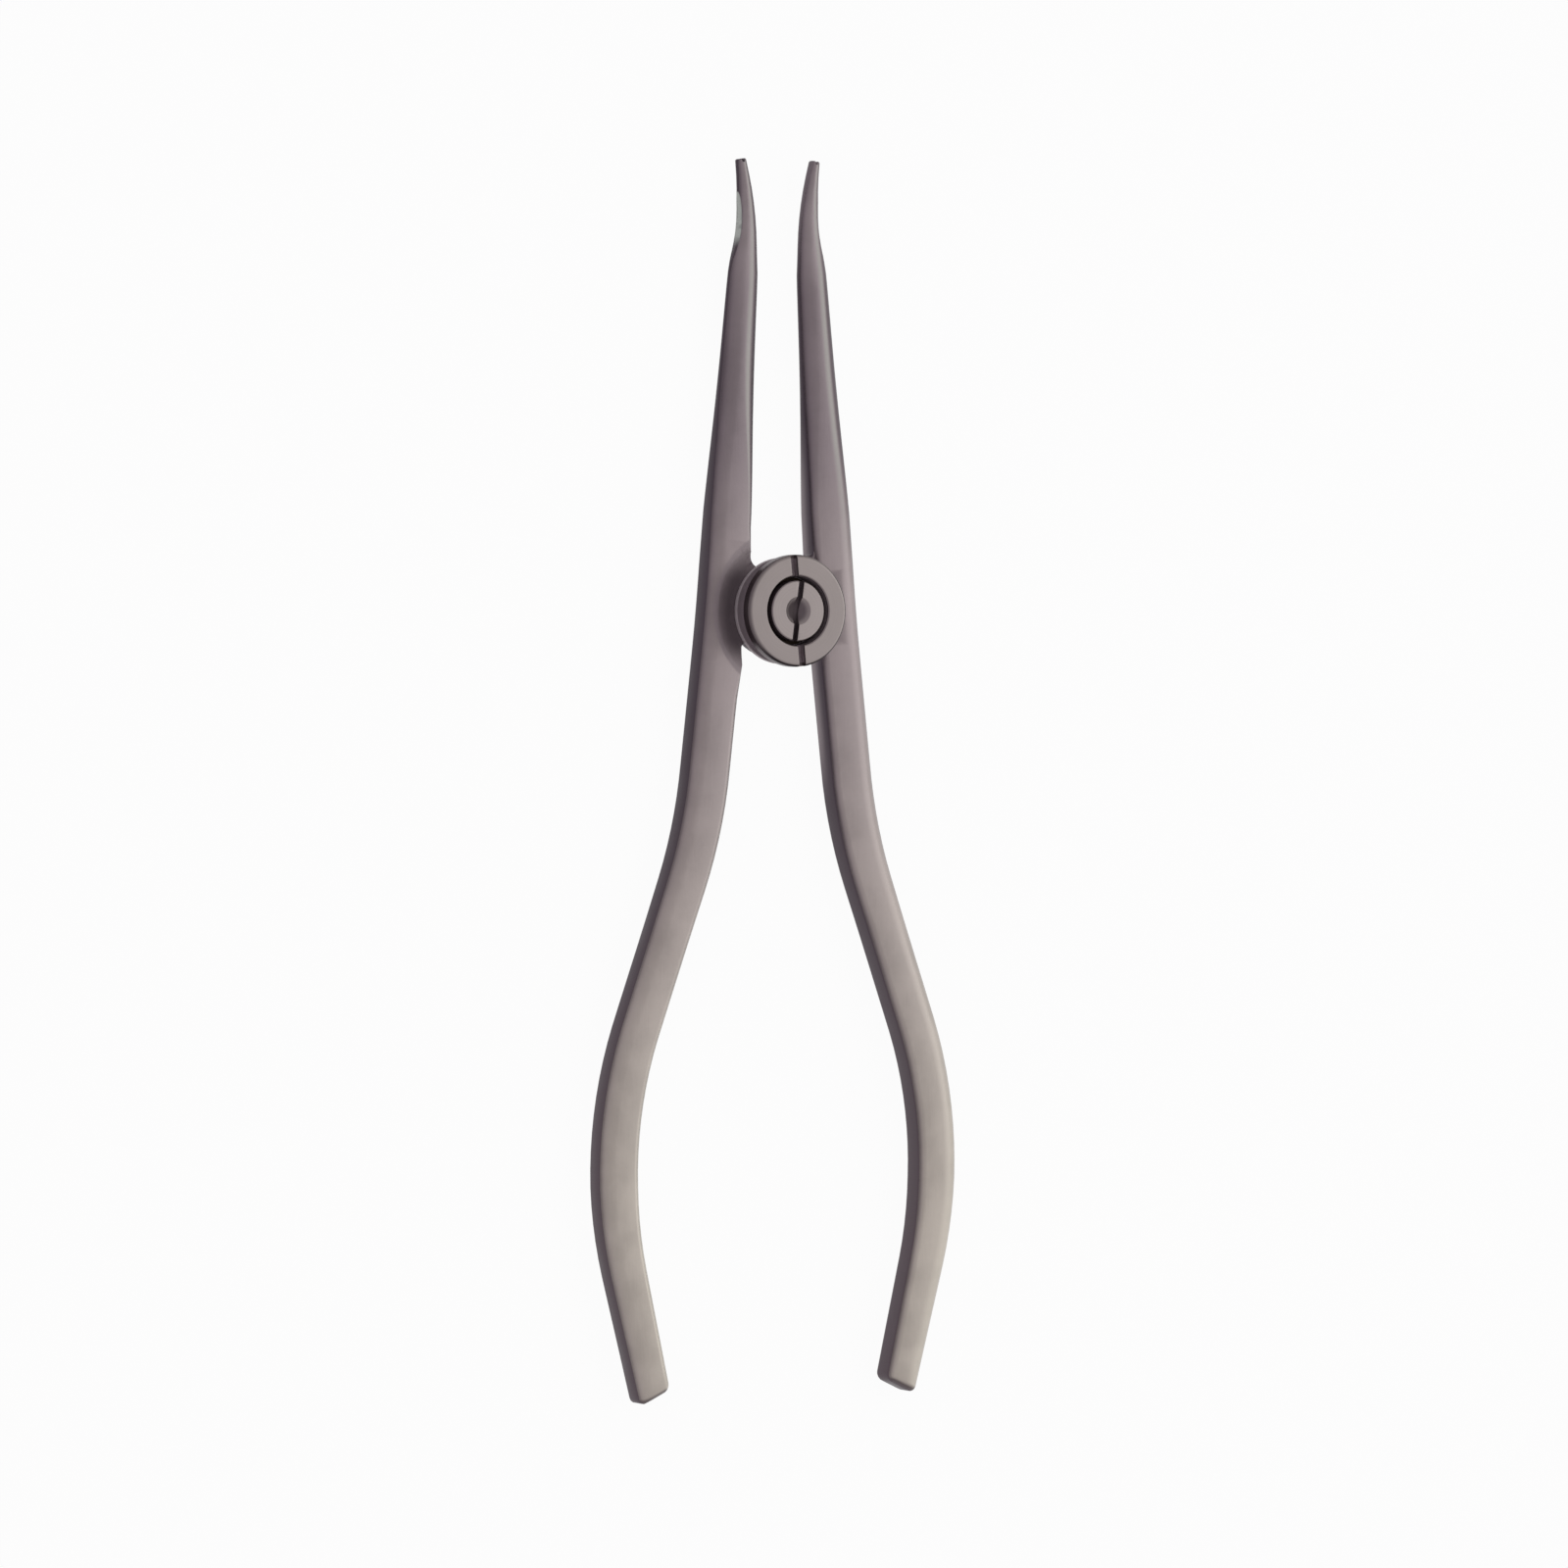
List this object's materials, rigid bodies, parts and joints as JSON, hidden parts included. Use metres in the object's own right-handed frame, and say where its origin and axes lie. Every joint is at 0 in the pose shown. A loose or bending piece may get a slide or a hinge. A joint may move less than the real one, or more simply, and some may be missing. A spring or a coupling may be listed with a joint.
{
  "type": "ligature tying pliers",
  "caption": "Slender dental tying pliers: uncrossed arms on a lap joint, a slotted winding hub over the pivot, and notched beaks that spread when the handles are squeezed.",
  "frame": {"origin": "on the pivot axis, at the flat back of the lap joint", "axes": "+Y along the instrument to the tips, +Z along the pivot axis to the front, where the hub is, +X to the right as seen from the front"},
  "size_m": [0.0494, 0.1495, 0.0073],
  "materials": {
    "left_arm_steel": "fine satin, slightly darker and warmer towards the handle's end",
    "right_arm_steel": "fine satin, slightly darker and warmer towards the handle's end",
    "hub_steel": "turned satin",
    "screw_steel": "turned satin",
    "pin_steel": "ground",
    "washer_bronze": "plain bearing bronze",
    "spring_steel": "hardened spring steel"
  },
  "bodies": {
    "left": {"left_arm": "left_arm_steel", "pivot_screw": "screw_steel", "screw_lock_pin": "pin_steel", "disc_spring": "spring_steel"},
    "right": {"right_arm": "right_arm_steel", "winding_hub": "hub_steel", "hub_lock_pin": "pin_steel", "thrust_washer": "washer_bronze"}
  },
  "joints": [
    {"name": "pivot", "type": "hinge", "parent": "left", "child": "right", "pos_m": [0, 0, 0], "axis": [0, 0, 1], "range_deg": [-18, 7.5]}
  ]
}
